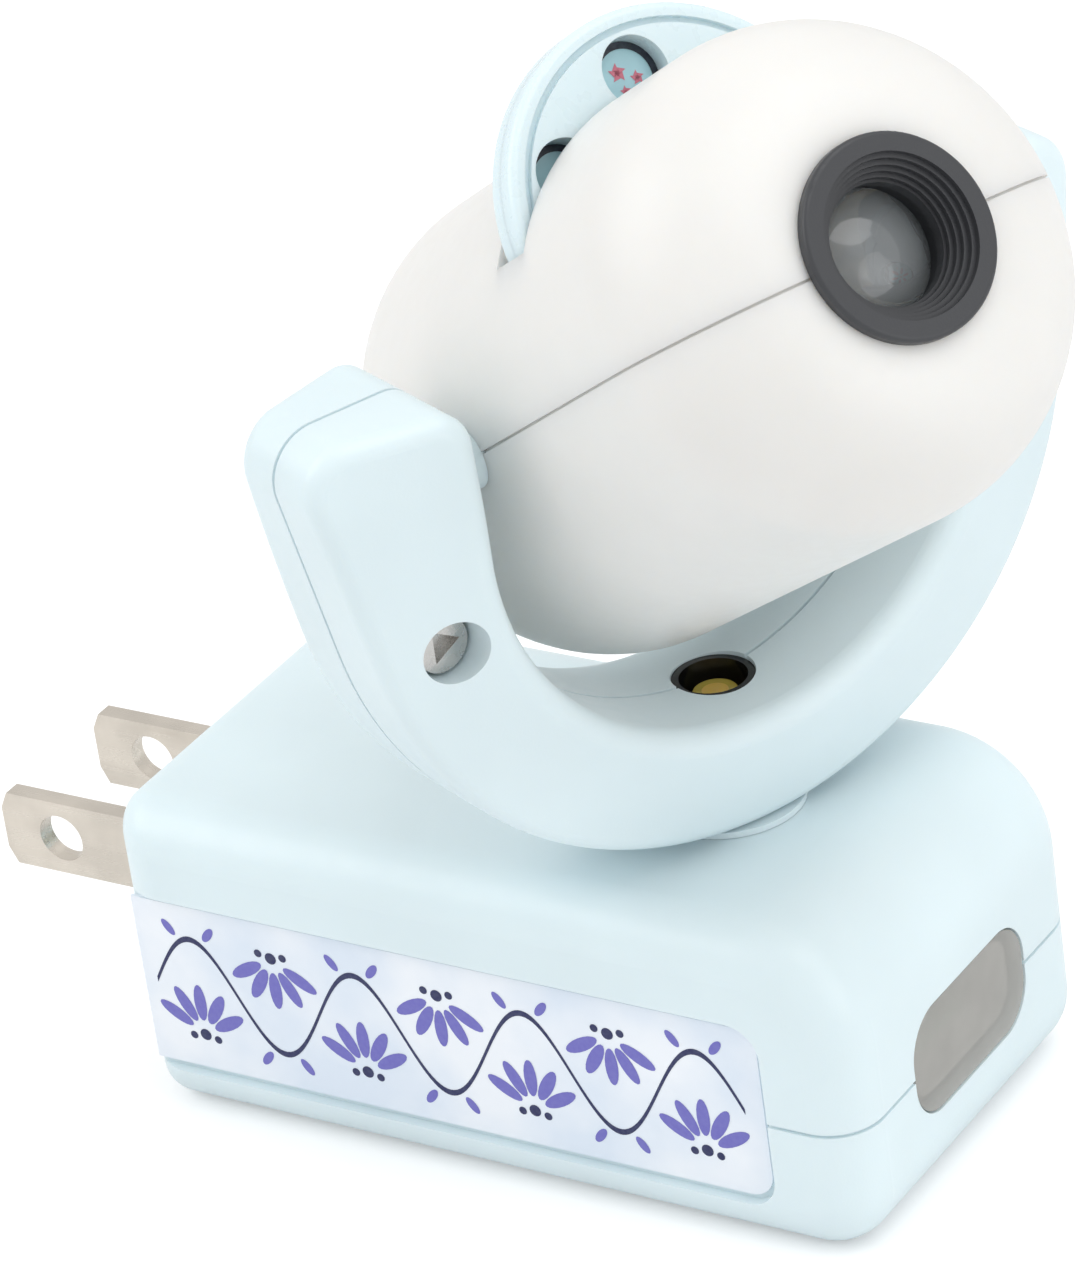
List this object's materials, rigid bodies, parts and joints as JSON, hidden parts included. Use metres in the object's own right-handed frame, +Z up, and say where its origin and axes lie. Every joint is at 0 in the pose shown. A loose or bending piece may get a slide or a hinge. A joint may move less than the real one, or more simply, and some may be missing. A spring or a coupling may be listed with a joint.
{
  "type": "plug in night light",
  "caption": "Plug-in night light projector: flat-blade plug base with light sensor, swivelling yoke, tilting capsule head with focusing lens and turning picture wheel.",
  "frame": {"origin": "base's underside, straight below the swivel axis", "axes": "+X away from the wall, +Y along the wall, +Z up; the yoke and head stand turned and tilted as in the picture"},
  "size_m": [0.096, 0.0646, 0.0917],
  "materials": {
    "base_plastic": "satin pale blue",
    "yoke_plastic": "satin pale blue",
    "wheel_plastic": "satin pale blue",
    "printed_label": "printed film",
    "nickel_brass": "nickel plated",
    "bright_steel": "bright",
    "smoky_clear": "clear smoky",
    "clear_resin": "clear",
    "board_green": "solder mask",
    "component_black": "moulded",
    "component_ochre": "dipped",
    "carrier_black": "moulded",
    "white_nylon": "moulded",
    "sleeve_black": "moulded",
    "led_yellow": "clear resin over yellow phosphor",
    "led_white": "clear resin",
    "translucent_white": "translucent satin",
    "picture_film": "printed transparent film",
    "lens_black": "satin",
    "clear_lens": "polished"
  },
  "bodies": {
    "base": {"base_lower_shell": "base_plastic", "base_upper_shell": "base_plastic", "blade_carrier": "carrier_black", "bridge_rectifier": "component_black", "case_screw_1": "bright_steel", "case_screw_2": "bright_steel", "case_screw_3": "bright_steel", "case_screw_4": "bright_steel", "circuit_board": "board_green", "dropper_capacitor": "component_ochre", "filter_capacitor": "component_black", "light_sensor": "clear_resin", "plug_blade_far": "nickel_brass", "plug_blade_near": "nickel_brass", "sensor_window": "smoky_clear", "side_label": "printed_label"},
    "yoke": {"glow_led": "led_yellow", "glow_sleeve": "sleeve_black", "swivel_clip": "bright_steel", "swivel_post": "white_nylon", "swivel_washer": "white_nylon", "yoke_front_half": "yoke_plastic", "yoke_rear_half": "yoke_plastic", "yoke_screw_left": "bright_steel", "yoke_screw_right": "bright_steel"},
    "head": {"condenser_lens": "clear_lens", "detent_spring": "bright_steel", "head_lower_half": "translucent_white", "head_upper_half": "translucent_white", "lamp_board": "board_green", "pivot_bush_left": "white_nylon", "pivot_bush_right": "white_nylon", "projector_led": "led_white", "wheel_axle": "bright_steel"},
    "picture_wheel": {"film_1": "picture_film", "film_2": "picture_film", "film_3": "picture_film", "film_4": "picture_film", "film_5": "picture_film", "film_6": "picture_film", "wheel_front_plate": "wheel_plastic", "wheel_rear_plate": "wheel_plastic"},
    "lens": {"lens_barrel": "lens_black", "projection_lens": "clear_lens", "lens_retainer": "lens_black"}
  },
  "joints": [
    {"name": "yoke_swivel", "type": "hinge", "parent": "base", "child": "yoke", "pos_m": [0, 0, 0.0264], "axis": [0, 0, 1], "range_deg": [-160, 160]},
    {"name": "head_tilt", "type": "hinge", "parent": "yoke", "child": "head", "pos_m": [0, 0, 0.062], "axis": [-0.3827, -0.9239, 0], "range_deg": [-50, 48]},
    {"name": "wheel_turn", "type": "hinge", "parent": "head", "child": "picture_wheel", "pos_m": [0.00382, -0.00158, 0.07625], "axis": [0.7659, -0.3173, 0.5592], "continuous": true},
    {"name": "lens_focus", "type": "slide", "parent": "head", "child": "lens", "axis": [0.7659, -0.3173, 0.5592], "range_m": [0, 0.003]}
  ]
}
